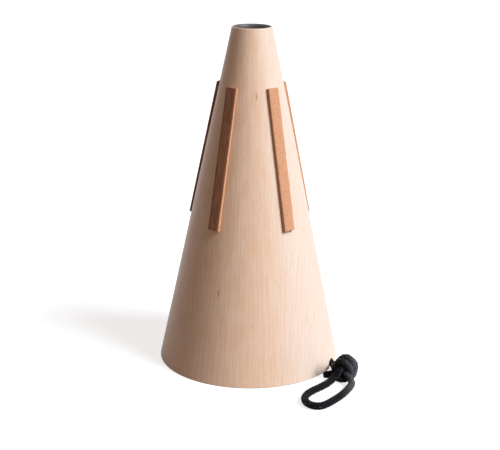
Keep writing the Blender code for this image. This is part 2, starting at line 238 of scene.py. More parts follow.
    def rings(self, tree: NodeTree, place: NodeSocket) -> NodeSocket:
        """Draws the year rings' tone, which lie nearly flat through the block, from Object coordinates."""
        wave = shade(tree, "Mapping", {"Vector": place, "Scale": per_mm(*self.ring_wave)})
        wave = shade(tree, "TexNoise", {"Vector": wave, "Scale": 1.0, "Detail": 2.0})
        flat = shade(tree, "VectorMath", {0: place, 1: (1.0, 1.0, self.ring_lean)}, operation="MULTIPLY")
        pith = tuple(c * MM for c in self.pith)
        from_pith = shade(tree, "VectorMath", {0: flat, 1: pith}, operation="SUBTRACT")
        reach = shade(tree, "VectorMath", {0: from_pith}, "Value", operation="LENGTH")
        age = shade(tree, "Math", {0: wave, 1: self.ring_wave_depth * MM, 2: reach}, operation="MULTIPLY_ADD")
        rings = shade(tree, "Math", {0: age, 1: 1 / (self.ring_spacing * MM)}, operation="MULTIPLY")
        year = shade(tree, "Math", {0: rings}, operation="FRACT")
        stops = ((0.0, "808080"), (1.0, "808080"), (0.3, "585858"), (0.7, "888888"), (0.9, "B0B0B0"))
        return shade(tree, "ValToRGB", {"Fac": year}, stops=stops)

    def rays(self, tree: NodeTree, place: NodeSocket) -> NodeSocket:
        """Draws how much of a ray's short dark fleck shows, more in some patches than in others."""
        cells = shade(tree, "Mapping", {"Vector": place, "Scale": per_mm(*self.ray)})
        cells = shade(tree, "TexVoronoi", {"Vector": cells, "Scale": 1.0, "Randomness": 1.0}, "Distance")
        core = {"Value": cells, "From Min": 0.10, "From Max": 0.26, "To Min": 1.0, "To Max": 0.0}
        ray = shade(tree, "MapRange", core)
        patch = shade(tree, "Mapping", {"Vector": place, "Scale": per_mm(*self.ray_patch)})
        patch = shade(tree, "TexNoise", {"Vector": patch, "Scale": 1.0, "Detail": 1.0})
        here = shade(tree, "MapRange", {"Value": patch, "From Min": 0.38, "From Max": 0.66, "To Max": 0.3})
        return shade(tree, "Math", {0: ray, 1: here}, operation="MULTIPLY")

    def mineral(self, tree: NodeTree, place: NodeSocket) -> NodeSocket:
        """Draws how much of one of the few dark mineral specks shows, from Object coordinates."""
        most = None
        for spot, (width, height) in self.specks:
            spot = tuple(c * MM for c in spot)
            offset = shade(tree, "VectorMath", {0: place, 1: spot}, operation="SUBTRACT")
            scale = per_mm(width, width * 3, height)
            offset = shade(tree, "VectorMath", {0: offset, 1: scale}, operation="MULTIPLY")
            reach = shade(tree, "VectorMath", {0: offset}, "Value", operation="LENGTH")
            inside = shade(tree, "MapRange", {"Value": reach, "From Min": 0.1, "To Min": 0.75, "To Max": 0.0})
            most = inside if most is None else shade(tree, "Math", {0: most, 1: inside}, operation="MAXIMUM")
        return most


@dataclass(frozen=True)
class SheetCork:
    """Fine cork granules pressed into sheet, sliced and cut in strips.

    The eye gets a dry, even orange tan with small darker grains, a few dark pits and a matt, crumbly cut.
    Sizes are in millimetres.
    """

    pale: str = "D4A27F"
    body: str = "C7906C"
    dark: str = "AE7955"
    pit: str = "6A4028"
    # Painted shade: the colour that strips lying in shade are darkened towards.
    painted_shade: str = "744730"
    grain: float = 0.9
    grain_share: float = 0.35
    fine_share: float = 0.65
    # Size of the patches that make the painted shade uneven.
    shade_patch: Triple = (4.0, 4.0, 9.0)
    roughness: float = 0.85

    def make(self) -> Material:
        """Makes the material."""
        material, tree, shader = start_material("pressed_sheet_cork")
        place = shade(tree, "TexCoord", {}, "Object")
        even = shade(tree, "Mapping", {"Vector": place, "Scale": per_mm(self.grain, self.grain, self.grain)})
        warp = shade(tree, "TexNoise", {"Vector": even, "Scale": 1.6, "Detail": 2.0}, "Color")
        bent = shade(tree, "VectorMath", {0: warp, 1: (0.6, 0.6, 0.6), 2: even}, operation="MULTIPLY_ADD")
        grains = shade(tree, "TexVoronoi", {"Vector": bent, "Scale": 1.0}, "Color")
        grains = shade(tree, "SeparateColor", {"Color": grains})
        fine = shade(tree, "TexNoise", {"Vector": even, "Scale": 3.0, "Detail": 3.0, "Roughness": 0.6})
        tone = shade(tree, "Math", {0: grains, 1: self.grain_share}, operation="MULTIPLY")
        tone = shade(tree, "Math", {0: fine, 1: self.fine_share, 2: tone}, operation="MULTIPLY_ADD")
        stops = ((0.08, self.dark), (0.94, self.pale), (0.48, self.body))
        cork = shade(tree, "ValToRGB", {"Fac": tone}, stops=stops)
        pits = shade(tree, "TexVoronoi", {"Vector": bent, "Scale": 0.24}, "Distance")
        core = {"Value": pits, "From Min": 0.05, "From Max": 0.13, "To Min": 0.8, "To Max": 0.0}
        pit = shade(tree, "MapRange", core)
        # Painted shade: the outer faces of the strips that face away from the key light, and one strip's
        # sides, are darkened unevenly in patches.
        shade_patch = shade(tree, "Mapping", {"Vector": place, "Scale": per_mm(*self.shade_patch)})
        shade_patch = shade(tree, "TexNoise", {"Vector": shade_patch, "Scale": 1.0, "Detail": 3.0})
        shade_patch = shade(tree, "MapRange", {"Value": shade_patch, "From Min": 0.35, "From Max": 0.6, "To Min": 0.72})
        shade_share = shade(tree, "Attribute", {}, "Fac", attribute_name="painted_shade")
        shade_share = shade(tree, "Math", {0: shade_share, 1: shade_patch}, operation="MULTIPLY")
        for share, colour in ((pit, self.pit), (shade_share, self.painted_shade)):
            cork = shade(tree, "Mix", {FACTOR: share, FIRST: cork, SECOND: colour}, MIXED, data_type="RGBA")
        relief = shade(tree, "Math", {0: pit, 1: -1.0, 2: fine}, operation="MULTIPLY_ADD")
        bump = shade(tree, "Bump", {"Strength": 0.6, "Distance": 0.2 * MM, "Height": relief})
        matt = {"Roughness": self.roughness, "Specular IOR Level": 0.3}
        feed(tree, shader, {"Base Color": cork, "Normal": bump, **matt})
        return material


@dataclass(frozen=True)
class PhenolicTube:
    """Resin-bonded paper tube, dyed black and ground: satin, with faint rings from the grinding.

    Sizes are in millimetres.
    """

    black: str = "433D40"
    worn: str = "564F51"
    ring: Triple = (40.0, 40.0, 0.7)
    roughness: float = 0.48

    def make(self) -> Material:
        """Makes the material."""
        material, tree, shader = start_material("ground_phenolic_tube")
        place = shade(tree, "TexCoord", {}, "Object")
        rings = shade(tree, "Mapping", {"Vector": place, "Scale": per_mm(*self.ring)})
        rings = shade(tree, "TexNoise", {"Vector": rings, "Scale": 1.0, "Detail": 3.0})
        dye = {FACTOR: rings, FIRST: self.black, SECOND: self.worn}
        colour = shade(tree, "Mix", dye, MIXED, data_type="RGBA")
        satin = {"Value": rings, "To Min": self.roughness - 0.08, "To Max": self.roughness + 0.12}
        gloss = shade(tree, "MapRange", satin)
        bump = shade(tree, "Bump", {"Strength": 0.15, "Distance": 0.05 * MM, "Height": rings})
        feed(tree, shader, {"Base Color": colour, "Normal": bump, "Roughness": gloss})
        return material


@dataclass(frozen=True)
class BirchPlywood:
    """Birch plywood, rotary cut and sanded: pale wavy figure on its face, dark glue lines on its edge.

    Sizes are in millimetres.
    """

    pale: str = "E4CFAC"
    body: str = "D3B78D"
    dark: str = "AE8B5F"
    figure: Triple = (9.0, 60.0, 9.0)
    ply: float = 0.8
    roughness: float = 0.58

    def make(self) -> Material:
        """Makes the material."""
        material, tree, shader = start_material("sanded_birch_plywood")
        place = shade(tree, "TexCoord", {}, "Object")
        face = shade(tree, "Mapping", {"Vector": place, "Scale": per_mm(*self.figure)})
        figure = shade(tree, "TexNoise", {"Vector": face, "Scale": 1.0, "Detail": 5.0, "Distortion": 0.6})
        stops = ((0.3, self.pale), (0.75, self.dark), (0.52, self.body))
        wood = shade(tree, "ValToRGB", {"Fac": figure}, stops=stops)
        height = shade(tree, "SeparateXYZ", {"Vector": place}, "Z")
        layer = shade(tree, "Math", {0: height, 1: 1 / (self.ply * MM)}, operation="MULTIPLY")
        layer = shade(tree, "Math", {0: layer}, operation="FRACT")
        line = {"Value": layer, "From Min": 0.0, "From Max": 0.12, "To Min": 0.5, "To Max": 0.0}
        glued = {FACTOR: shade(tree, "MapRange", line), FIRST: wood, SECOND: self.dark}
        colour = shade(tree, "Mix", glued, MIXED, data_type="RGBA")
        bump = shade(tree, "Bump", {"Strength": 0.15, "Distance": 0.1 * MM, "Height": figure})
        feed(tree, shader, {"Base Color": colour, "Normal": bump, "Roughness": self.roughness})
        return material


@dataclass(frozen=True)
class BraidedPolyester:
    """Soft black polyester braid.

    The eye gets matt black yarns that read one by one, each lined with fine threads, with a thin grey
    sheen where the light grazes them. The side of the knot and the loop that lies farthest from the cone,
    at +X towards the key light, is painted greyer over a stretch along X, as a painted sheen. Sizes are in
    millimetres.
    """

    black: str = "0C0C0D"
    worn: str = "1C1B1E"
    # Painted sheen: the grey that the cord's +X side is painted with.
    painted_sheen: str = "545257"
    painted_sheen_share: float = 0.9
    painted_sheen_span: tuple[float, float] = (60.0, 75.0)
    thread: float = 0.24
    thread_length: float = 6.25
    roughness: float = 0.45

    def make(self) -> Material:
        """Makes the material."""
        material, tree, shader = start_material("braided_polyester_cord")
        # A thread is about 0.1 mm across. It is drawn at 0.24 mm so that it can show.
        along = shade(tree, "UVMap", {}, uv_map="yarn")
        size = (1 / self.thread, 1 / self.thread_length, 1.0)
        threads = shade(tree, "Mapping", {"Vector": along, "Scale": size})
        fine = {"Vector": threads, "Scale": 1.0, "Detail": 2.0}
        threads = shade(tree, "TexNoise", fine, noise_dimensions="2D")
        # Painted sheen: a grey that grows along +X, on the side of the knot and the loop that faces the key
        # light.
        place = shade(tree, "TexCoord", {}, "Object")
        outwards = shade(tree, "SeparateXYZ", {"Vector": place}, "X")
        start, end = (reach * MM for reach in self.painted_sheen_span)
        sheen_range = {"Value": outwards, "From Min": start, "From Max": end, "To Max": self.painted_sheen_share}
        sheen_mask = shade(tree, "MapRange", sheen_range, interpolation_type="SMOOTHSTEP")
        dyed = self.black
        for share, paler in ((threads, self.worn), (sheen_mask, self.painted_sheen)):
            dyed = shade(tree, "Mix", {FACTOR: share, FIRST: dyed, SECOND: paler}, MIXED, data_type="RGBA")
        bump = shade(tree, "Bump", {"Strength": 0.5, "Distance": 0.12 * MM, "Height": threads})
        matt = {"Roughness": self.roughness, "Specular IOR Level": 0.03}
        sheen = {"Sheen Weight": 0.5, "Sheen Roughness": 0.25}
        feed(tree, shader, {"Base Color": dyed, "Normal": bump, **matt, **sheen})
        return material


def finished(name: str, bm: bmesh.types.BMesh, material: Material, crisp: bool = True) -> Object:
    """Makes a piece at the origin from a bmesh, with its faces pointing outwards.

    Args:
        name: The piece's name.
        bm: Its shape, which is used up.
        material: Its finish.
        crisp: Whether its edges over 35 degrees stay sharp.

    Returns:
        The piece.
    """
    bmesh.ops.recalc_face_normals(bm, faces=bm.faces)
    mesh = bpy.data.meshes.new(name)
    bm.to_mesh(mesh)
    bm.free()
    mesh.shade_smooth()
    if crisp:
        mesh.set_sharp_from_angle(angle=SHARP_ANGLE)
    mesh.materials.append(material)
    piece = bpy.data.objects.new(name, mesh)
    bpy.context.scene.collection.objects.link(piece)
    return piece


@dataclass(frozen=True)
class ConeSizes:
    """The turned cone's driving sizes, as the CAD has them."""

    base_diameter: float = 127.0 * MM
    top_diameter: float = 27.5 * MM
    height: float = 235.0 * MM

    @property
    def half_angle(self) -> float:
        """Angle between the cone's side and its axis."""
        return math.atan2((self.base_diameter - self.top_diameter) / 2, self.height)

    def radius(self, height: float) -> float:
        """Outer radius at a height above the foot."""
        return self.base_diameter / 2 - height * math.tan(self.half_angle)


@dataclass
class ThroatTube:
    """The black tube in the throat, whose thin lip is flared out over the wood's rim.

    Its profile is given in millimetres as radii and heights above the foot.
    """

    profile: tuple[tuple[float, float], ...] = (
        (11.95, 144.65), (11.95, 234.70), (12.15, 235.02), (12.85, 235.04), (12.92, 235.12), (12.80, 235.22),
        (12.30, 235.24), (11.75, 235.05), (11.30, 234.50), (11.05, 233.60), (10.95, 232.20), (10.95, 144.65),
    )
    steps: int = 96
    finish: PhenolicTube = field(default_factory=PhenolicTube)

    def build(self) -> Object:
        """Turns the tube from its profile.

        Returns:
            The tube, in place.
        """
        bm = bmesh.new()
        verts = [bm.verts.new((radius * MM, 0.0, height * MM)) for radius, height in self.profile]
        edges = [bm.edges.new(pair) for pair in zip(verts, verts[1:] + verts[:1])]
        bmesh.ops.spin(
            bm,
            geom=verts + edges,
            cent=(0.0, 0.0, 0.0),
            axis=(0.0, 0.0, 1.0),
            angle=math.tau,
            steps=self.steps,
            use_merge=True,
        )
        self.put_in_order(bm)
        tube = finished("throat_tube_flared", bm, self.finish.make())
        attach(tube, "root")
        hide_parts("throat_tube")
        LOG.info("%s: %d faces", tube.name, len(tube.data.polygons))
        return tube

    @staticmethod
    def put_in_order(bm: bmesh.types.BMesh) -> None:
        """Sorts edges and faces by their vertices, because the spin's merge orders them anew each run."""
        bm.verts.index_update()
        count = len(bm.verts)
        for elements in (bm.edges, bm.faces):
            elements.sort(
                key=lambda part: sum(
                    index * count**place for place, index in enumerate(sorted(v.index for v in part.verts))
                )
            )


@dataclass
class TurnedBody:
    """The wooden cone and the plate in its foot, which keep their CAD shape."""

    beech: TurnedBeech = field(default_factory=TurnedBeech)
    plywood: BirchPlywood = field(default_factory=BirchPlywood)

    def dress(self) -> None:
        """Gives each node its finish."""
        for name, finish in (("cone_shell", self.beech), ("base_plate", self.plywood)):
            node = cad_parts[name]
            node.data.materials.clear()
            node.data.materials.append(finish.make())
            LOG.info("%s: %d faces", name, len(node.data.polygons))


@dataclass(frozen=True)
class StripTurnAndShade:
    """How one strip was glued on and shaded: its turn, and how much painted shade its face and its sides get.
    """

    nudge: float = 0.0
    face: float = 0.0
    sides: float = 0.0


@dataclass
class CorkStrips:
    """Five strips of sheet cork glued along the cone, with square ends and slightly crumbled edges."""

    cone: ConeSizes
    length: float = 96.0 * MM
    width: float = 8.2 * MM
    thickness: float = 2.7 * MM
    sanded: float = 0.5 * MM
    shoulder: float = 1.6 * MM
    rounding: float = 0.32 * MM
    from_top: float = 39.4 * MM
    first_turn: float = math.radians(1.7)
    mesh_size: float = 0.75 * MM
    crumble: float = 0.15 * MM
    edge_wear: float = 0.25
    weak_wear: float = 1.4
    face_wear: float = 0.12
    weak_spots: tuple[float, float] = (1.6 * MM, 0.7 * MM)
    glue_line: float = 0.02 * MM
    # Each strip's turn, and the painted shade on the strips that face away from the key light.
    strip_settings: tuple[StripTurnAndShade, ...] = (
        StripTurnAndShade(face=0.80),
        StripTurnAndShade(),
        StripTurnAndShade(nudge=math.radians(2.5)),
        StripTurnAndShade(face=0.2),
        StripTurnAndShade(nudge=math.radians(-2.5), face=0.85, sides=0.9),
    )
    cork: SheetCork = field(default_factory=SheetCork)

    @property
    def at_surface(self) -> float:
        """How near a face of the strip a vertex counts as lying on it."""
        return self.mesh_size / 4

    def build(self) -> list[Object]:
        """Builds the strips.

        Returns:
            One object for each strip, in the order of the CAD nodes that they replace.
        """
        material = self.cork.make()
        strips = []
        for i, setting in enumerate(self.strip_settings):
            azimuth = math.radians(-90) + self.first_turn + (i - 0.5) * math.tau / len(self.strip_settings) + setting.nudge
            strip = finished(f"cork_strip_{i + 1}_cut", self.cut_strip(azimuth, setting), material)
            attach(strip, "root")
            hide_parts(f"cork_strip_{i + 1}")
            strips.append(strip)
            LOG.info("%s: %d faces", strip.name, len(strip.data.polygons))
        return strips

    def cut_strip(self, azimuth: float, setting: StripTurnAndShade) -> bmesh.types.BMesh:
        """Cuts one strip, hollows it to the cone and crumbles its edges.

        Args:
            azimuth: Where the strip stands round the cone.
            setting: Its turn, and how much painted shade it gets.

        Returns:
            The strip's shape, in place.
        """
        bm = bmesh.new()
        bmesh.ops.create_cube(bm, size=1.0)
        sizes = (self.thickness, self.width, self.length)
        for axis, size in enumerate(sizes):
            edges = [e for e in bm.edges if abs((e.verts[0].co - e.verts[1].co)[axis]) > 0.5]
            cuts = round(size / self.mesh_size) - 1
            bmesh.ops.subdivide_edges(bm, edges=edges, cuts=cuts, use_grid_fill=True)
        bmesh.ops.scale(bm, verts=bm.verts, vec=sizes)
        bmesh.ops.translate(bm, verts=bm.verts, vec=(self.thickness / 2, 0.0, 0.0))
        middle = self.from_top + self.length / 2
        seat = self.cone.top_diameter / 2 + middle * math.sin(self.cone.half_angle)
        height = self.cone.height - middle * math.cos(self.cone.half_angle)
        turn = Matrix.Rotation(azimuth, 4, "Z") @ Matrix.Rotation(-self.cone.half_angle, 4, "Y")
        place = Matrix.Translation((seat * math.cos(azimuth), seat * math.sin(azimuth), height)) @ turn
        shade_share = bm.verts.layers.float.new("painted_shade")
        for vert in bm.verts:
            # Painted shade: how far the cork here is darkened, by the outer face or the sides that it lies
            # on.
            vert[shade_share] = setting.face if vert.co.x > self.thickness - self.at_surface else setting.sides
            self.crumble_vertex(vert, place @ vert.co)
            # The strip is sanded thinner towards its upper end and round along its outer edges.
            rise = 0.5 + vert.co.z / self.length
            past = max(0.0, (abs(vert.co.y) - self.width / 2) / self.shoulder + 1)
            vert.co.x *= 1 - (self.sanded * rise + self.rounding * past**2) / self.thickness
        bmesh.ops.transform(bm, matrix=place, verts=bm.verts)
        for vert in bm.verts:
            floor = self.cone.radius(vert.co.z) + self.glue_line
            reach = vert.co.to_2d().length
            if reach < floor:
                vert.co.x *= floor / reach
                vert.co.y *= floor / reach
        return bm

    def crumble_vertex(self, vert: bmesh.types.BMVert, seed: Vector) -> None:
        """Wears a vertex inwards, most on an edge and where the cork is weak.

        Args:
            vert: The vertex, in the strip's own axes.
            seed: Its place on the mute, which the wear is drawn from.
        """
        halves = (self.thickness / 2, self.width / 2, self.length / 2)
        offset = vert.co - Vector((self.thickness / 2, 0.0, 0.0))
        outside = offset.x > 0
        margins = [half - abs(c) for half, c in zip(halves, offset)]
        faces_near = sum(margin < self.at_surface for margin in margins)
        coarse, fine = (noise.noise(seed / size) for size in self.weak_spots)
        weak = coarse + fine / 2
        wear = 0.0
        if faces_near >= 2 and outside:
            wear = self.crumble * (self.edge_wear + max(0.0, weak) * self.weak_wear)
        elif min(margins) < self.at_surface:
            wear = self.crumble * self.face_wear * (1 + weak)
        ways = [-math.copysign(1.0, c) if m < self.at_surface else 0.0 for c, m in zip(offset, margins)]
        if not outside and margins[0] < self.at_surface:
            ways[0] = 0.0
        vert.co += Vector(ways) * wear


def catmull_rom(points: np.ndarray, steps: int = 16) -> np.ndarray:
    """Reads a smooth curve through points.

    Args:
        points: The points, one in a row.
        steps: Points to read between each two.

    Returns:
        The curve's points.
    """
    ends = np.vstack([2 * points[0] - points[1], points, 2 * points[-1] - points[-2]])
    t = np.arange(steps)[:, None] / steps
    pieces = []
    for p0, p1, p2, p3 in zip(ends, ends[1:], ends[2:], ends[3:]):
        bend = (2 * p0 - 5 * p1 + 4 * p2 - p3) * t**2 + (3 * p1 - 3 * p2 + p3 - p0) * t**3
        pieces.append(p1 + ((p2 - p0) * t + bend) / 2)
    return np.vstack([*pieces, points[-1:]])


def unit(vectors: np.ndarray) -> np.ndarray:
    """Scales vectors to unit length."""
    return vectors / np.maximum(np.linalg.norm(vectors, axis=-1, keepdims=True), TINY)


def distances(line: np.ndarray) -> np.ndarray:
    """The distance along a line to each of its points."""
    return np.concatenate([[0.0], np.cumsum(np.linalg.norm(np.diff(line, axis=0), axis=1))])


def respaced(line: np.ndarray, count: int) -> np.ndarray:
    """Reads a count of evenly spaced points from a line of points."""
    along = distances(line)
    wanted = np.linspace(0.0, along[-1], count)
    return np.stack([np.interp(wanted, along, line[:, axis]) for axis in range(3)], axis=1)


@dataclass
class Tubes:
    """Tubes with capped ends, gathered for one mesh, with a pattern's place round and along each.

    All sizes are in millimetres.
    """

    verts: list[np.ndarray] = field(default_factory=list)
    faces: list[tuple[int, ...]] = field(default_factory=list)
    pattern: list[np.ndarray] = field(default_factory=list)

    def add(self, rails: list[np.ndarray], along: np.ndarray, girth: float) -> None:
        """Closes rails into one more tube.

        Args:
            rails: The lines of points that run along the tube, in order round it.
            along: Distance along the tube at each point.
            girth: How far the pattern runs round it.
        """
        sides, count = len(rails), len(along)
        base = sum(len(part) for part in self.verts)
        self.verts.append(np.stack(rails, axis=1).reshape(-1, 3))
        round_place = np.tile(np.arange(sides) / sides * girth, count)
        self.pattern.append(np.stack([round_place, np.repeat(along, sides)], axis=1))
        for i in range(count - 1):
            for k in range(sides):
                a = base + i * sides + k
                b = base + i * sides + (k + 1) % sides
                self.faces.append((a, b, b + sides, a + sides))
        self.faces.append(tuple(base + k for k in reversed(range(sides))))
        self.faces.append(tuple(base + (count - 1) * sides + k for k in range(sides)))

    def piece(self, name: str, material: Material) -> Object:
        """Makes one piece of all the tubes.

        Args:
            name: The piece's name.
            material: Its finish, which reads the pattern's place as the UV map "yarn".

        Returns:
            The piece.
        """
        mesh = bpy.data.meshes.new(name)
        mesh.from_pydata(np.vstack(self.verts) * MM, [], self.faces)
        layer = mesh.uv_layers.new(name="yarn")
        corner = np.empty(len(mesh.loops), dtype=np.int32)
        mesh.loops.foreach_get("vertex_index", corner)
        layer.data.foreach_set("uv", np.vstack(self.pattern)[corner].ravel())
        mesh.validate()
        bm = bmesh.new()
        bm.from_mesh(mesh)
        bpy.data.meshes.remove(mesh)
        return finished(name, bm, material, crisp=False)


@dataclass(frozen=True)
class Lay:
    """How a cord lies: for each point of its centre line, its axes, distance and share of thickness."""

    line: np.ndarray
    along: np.ndarray
    ahead: np.ndarray
    across: np.ndarray
    up: np.ndarray
    share: np.ndarray


class Winding(Enum):
    """Which way a yarn winds round the cord as it runs ahead."""

    LEFT = 1
    RIGHT = -1


@dataclass
class Braid:
    """A two-over-two braid of flat yarns about a core. All sizes are in millimetres."""

    yarns_each_way: int = 8
    radius: float = 2.6
    pressed_share: float = 0.87
    pitch: float = 19.7
    yarn_width: float = 1.48
    yarn_thickness: float = 1.0
    rise: float = 0.32
    crest: float = 1.35
    section_points: int = 8
    core_radius: float = 1.5
    core_points: int = 12
    step: float = 0.6
    seal_length: float = 3.2
    tip_share: float = 0.62
    tip_swell: float = 0.85

    def lay(self, line: np.ndarray, pressed: np.ndarray) -> Lay:
        """Carries axes along a line without twist, and thins the cord where it is pressed and at its tip.

        Args:
            line: Evenly spaced points of the centre line.
            pressed: How hard the cord is squeezed at each point, 0 to 1.

        Returns:
            How the cord lies.
        """
        ahead = unit(np.gradient(line, axis=0))
        across = np.zeros_like(line)
        across[0] = unit(np.cross(ahead[0], (0.0, 0.0, 1.0) if abs(ahead[0, 2]) < 0.9 else (1.0, 0.0, 0.0)))
        for i in range(1, len(line)):
            across[i] = unit(across[i - 1] - ahead[i] * (across[i - 1] @ ahead[i]))
        along = distances(line)
        to_tip = np.clip((along[-1] - along) / self.seal_length, 0.0, 1.0)
        share = 1 - (1 - self.pressed_share) * pressed
        share = share * (self.tip_share + (1 - self.tip_share) * np.sqrt(1 - (1 - to_tip) ** 2))
        return Lay(line, along, ahead, across, np.cross(ahead, across), share)

    def plait(self, name: str, line: np.ndarray, pressed: np.ndarray, material: Material) -> Object:
        """Plaits the cord along a line.

        Args:
            name: The piece's name.
            line: Evenly spaced points of the centre line.
            pressed: How hard the cord is squeezed at each point, 0 to 1.
            material: The yarns' material.

        Returns:
            The cord as one object.
        """
        lay = self.lay(line, pressed)
        tubes = Tubes()
        for winding in Winding:
            for number in range(self.yarns_each_way):
                self.wind_yarn(tubes, lay, winding, number)
        self.fill_core(tubes, lay)
        return tubes.piece(name, material)

    def wind_yarn(self, tubes: Tubes, lay: Lay, winding: Winding, number: int) -> None:
        """Adds one yarn: it winds round the core, passing over two yarns and under two.

        Args:
            tubes: The yarns so far.
            lay: How the cord lies.
            winding: The yarn's way round.
            number: Its number among the yarns that wind its way.
        """
        way = winding.value
        turn = math.tau / self.pitch
        spacing = math.tau / self.yarns_each_way
        angle = number * spacing + way * turn * lay.along
        crossing = 2 * turn * lay.along / spacing
        height = way * np.cos(math.tau * (2 * number + way * crossing - 0.5) / 4)
        height = np.clip(self.crest * height, -1.0, 1.0) * self.rise
        middle = self.radius - self.rise - self.yarn_thickness / 2
        out = lay.across * np.cos(angle)[:, None] + lay.up * np.sin(angle)[:, None]
        round_way = lay.up * np.cos(angle)[:, None] - lay.across * np.sin(angle)[:, None]
        slope = way * turn * middle
        flat = unit(round_way - lay.ahead * slope)
        centre = lay.line + out * ((middle + height) * lay.share)[:, None]
        rails = []
        for k in range(self.section_points):
            a = math.tau * k / self.section_points
            wide = math.cos(a) * self.yarn_width / 2 * lay.share
            thick = math.sin(a) * self.yarn_thickness / 2 * lay.share
            rails.append(centre + flat * wide[:, None] + out * thick[:, None])
        tubes.add(rails, lay.along / math.cos(math.atan(slope)), self.yarn_width)

    def fill_core(self, tubes: Tubes, lay: Lay) -> None:
        """Adds the core to the yarns, over whose ends it swells as the melted tip."""
        to_tip = np.clip((lay.along[-1] - lay.along) / (self.seal_length / 2), 0.0, 1.0)
        radius = lay.share * (self.core_radius + self.tip_swell * (1 - to_tip))
        rails = []
        for k in range(self.core_points):
            a = math.tau * k / self.core_points
            rails.append(lay.line + (lay.across * math.cos(a) + lay.up * math.sin(a)) * radius[:, None])
        tubes.add(rails, lay.along, math.tau * self.core_radius)


@dataclass
class StrandPair:
    """Two strands side by side, pulled tight: lengths hold, bends stay round, cords don't pass through.

    All sizes are in millimetres. Each strand is a chain of points whose ends are pinned.
    """

    points: np.ndarray
    thickness: float
    least_bend: float
    pinned: int = 4
    largest_move: float = 0.4
    overshoot: float = 1.3
    own_neighbours: float = 1.4
    own_reach: float = 8.0
    nearest_pairs: int = 25
    slack: float = 0.93
    firmness: float = 0.015

    def __post_init__(self) -> None:
        """Works out which pairs of points can touch."""
        self.count = len(self.points) // 2
        self.step = np.array([np.linalg.norm(np.diff(s, axis=0), axis=1).mean() for s in self.strands()])
        index = np.arange(2 * self.count)
        place = index % self.count
        self.free = ((place >= self.pinned) & (place < self.count - self.pinned)).astype(float)
        self.first, self.second = np.triu_indices(2 * self.count, 1)
        self.same = index[self.first] // self.count == index[self.second] // self.count
        self.gap = self.second - self.first

    def strands(self) -> tuple[np.ndarray, np.ndarray]:
        """The points of each strand."""
        return self.points[: self.count], self.points[self.count :]

    def run_outs(self, back: int) -> list[list[RunOut]]:
        """Reads each strand's two ends, and their ways from the point that is so many places back."""
        ends = []
        for strand in self.strands():
            ways = unit(np.stack([strand[0] - strand[back], strand[-1] - strand[-1 - back]]))
            ends.append([(strand[0].copy(), ways[0]), (strand[-1].copy(), ways[1])])
        return ends

    def pin(self, ends: list[list[RunOut]]) -> None:
        """Puts the pinned points on straight lines that run out of the knot from each strand's ends."""
        for strand, pair in enumerate(ends):
            for side, (point, way) in enumerate(pair):
                for j in range(self.pinned):
                    place = j if side == 0 else self.count - 1 - j
                    out = (self.pinned - 1 - j) * self.step[strand]
                    self.points[strand * self.count + place] = point + way * out

    def closest(self) -> float:
        """How near the strands come, as the mean of the closest few pairs of points."""
        apart = ~(self.same & (self.gap < np.ceil(self.own_reach / self.step.mean())))
        i, j = self.first[apart], self.second[apart]
        loose = (self.free[i] + self.free[j]) > 0
        reach = np.linalg.norm(self.points[j] - self.points[i], axis=1)[loose]
        return float(np.partition(reach, self.nearest_pairs)[: self.nearest_pairs].mean())

    def relax(self, rounds: int, floor: float | None) -> None:
        """Settles the strands a little.

        Args:
            rounds: Passes over all the constraints.
            floor: The least height of a centre line, or None for no table.
        """
        for _ in range(rounds):
            self.hold_lengths()
            move = np.zeros_like(self.points)
            hits = np.zeros(len(self.points))
            self.round_bends(move, hits)
            self.part_strands(move, hits)
            move /= np.maximum(hits, 1.0)[:, None]
            size = np.linalg.norm(move, axis=1)
            move *= (np.minimum(size, self.largest_move) / np.maximum(size, TINY))[:, None]
            self.points += self.overshoot * move * self.free[:, None]
            if floor is not None:
                low = (self.points[:, 2] < floor) & (self.free > 0)
                self.points[low, 2] = floor

    def hold_lengths(self) -> None:
        """Brings neighbours to the strand's own spacing, even links first and then odd ones."""
        cap = self.largest_move
        for odd in (0, 1):
            for strand in (0, 1):
                start = strand * self.count
                i = np.arange(start + odd, start + self.count - 1, 2)
                j = i + 1
                link = self.points[j] - self.points[i]
                length = np.maximum(np.linalg.norm(link, axis=1), TINY)
                share = np.maximum(self.free[i] + self.free[j], TINY)
                pull = np.clip(((length - self.step[strand]) / length / share)[:, None] * link, -cap, cap)
                self.points[i] += self.free[i][:, None] * pull
                self.points[j] -= self.free[j][:, None] * pull

    def round_bends(self, move: np.ndarray, hits: np.ndarray) -> None:
        """Pushes points near each other on a strand apart where it bends too tightly."""
        for gap in (2, 4):
            for strand in (0, 1):
                i = np.arange(strand * self.count, (strand + 1) * self.count - gap)
                j = i + gap
                link = self.points[j] - self.points[i]
                length = np.maximum(np.linalg.norm(link, axis=1), TINY)
                half_turn = min(math.pi / 2, gap * self.step[strand] / 2 / self.least_bend)
                push = np.maximum(0.0, 2 * self.least_bend * math.sin(half_turn) - length)
                part = (push / length / 2)[:, None] * link
                tight = push > 0
                self.spread(move, hits, i[tight], j[tight], part[tight])

    def part_strands(self, move: np.ndarray, hits: np.ndarray) -> None:
        """Pushes strands apart where they are closer than a cord is thick."""
        own = self.same & (self.gap < np.ceil(self.own_neighbours * self.thickness / self.step.mean()))
        i, j = self.first[~own], self.second[~own]
        link = self.points[j] - self.points[i]
        reach = np.einsum("ij,ij->i", link, link)
        touch = reach < self.thickness**2
        i, j, link = i[touch], j[touch], link[touch]
        length = np.maximum(np.sqrt(reach[touch]), TINY)
        self.spread(move, hits, i, j, ((self.thickness - length) / length / 2)[:, None] * link)

    @staticmethod
    def spread(move: np.ndarray, hits: np.ndarray, i: np.ndarray, j: np.ndarray, part: np.ndarray) -> None:
        """Adds one push to both points of each pair."""
        np.add.at(move, i, -part)
        np.add.at(move, j, part)
        np.add.at(hits, i, 1)
        np.add.at(hits, j, 1)

